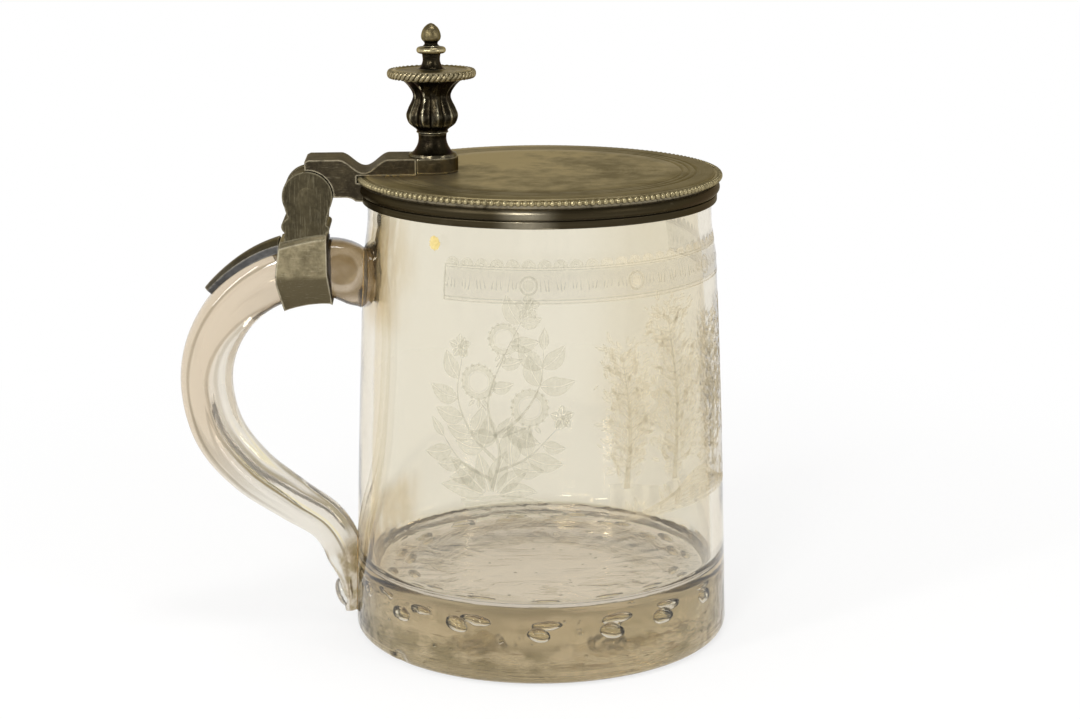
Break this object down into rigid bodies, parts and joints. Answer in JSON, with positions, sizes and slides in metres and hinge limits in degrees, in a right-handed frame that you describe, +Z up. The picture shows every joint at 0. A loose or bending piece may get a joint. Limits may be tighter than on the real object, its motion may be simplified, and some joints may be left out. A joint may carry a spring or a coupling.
{
  "type": "lidded glass tankard",
  "caption": "Clear glass tankard with an applied bow handle and a hinged metal lid with a turned baluster thumb-piece, for holding a drink.",
  "frame": {"origin": "centre of the underside of the glass foot, on the surface that the tankard stands on", "axes": "+Z up along the mug's axis, -X towards the handle, Y along the hinge pin"},
  "size_m": [0.1453, 0.1002, 0.1618],
  "materials": {
    "glass": "clear, slightly straw tinted, polished",
    "handle_glass": "clear, slightly pink tinted, fire polished",
    "lid_metal": "tarnished silver-coloured metal, olive brown, worn",
    "mount_metal": "tarnished silver-coloured metal, scratched",
    "dark_metal": "blackened tarnish with rubbed highlights",
    "packing": "old dark setting cement"
  },
  "bodies": {
    "mug": {"glass_body": "glass", "glass_handle": "handle_glass", "handle_collar": "mount_metal", "collar_packing": "packing", "spine_strap": "mount_metal", "hinge_block": "mount_metal", "hinge_pin": "mount_metal"},
    "lid": {"lid_arm": "mount_metal", "lid_plate": "lid_metal", "lid_skirt": "dark_metal", "lid_moulding": "dark_metal", "lid_bead_wire": "lid_metal", "thumb_block": "dark_metal", "thumb_foot": "dark_metal", "thumb_vase": "dark_metal", "thumb_disc": "lid_metal", "thumb_rope_edge": "lid_metal", "thumb_spool": "dark_metal", "thumb_finial": "lid_metal", "thumb_stud": "mount_metal"}
  },
  "joints": [
    {"name": "lid_hinge", "type": "hinge", "parent": "mug", "child": "lid", "pos_m": [-0.0601, 0, 0.1182], "axis": [0, -1, 0], "range_deg": [0, 110]}
  ]
}
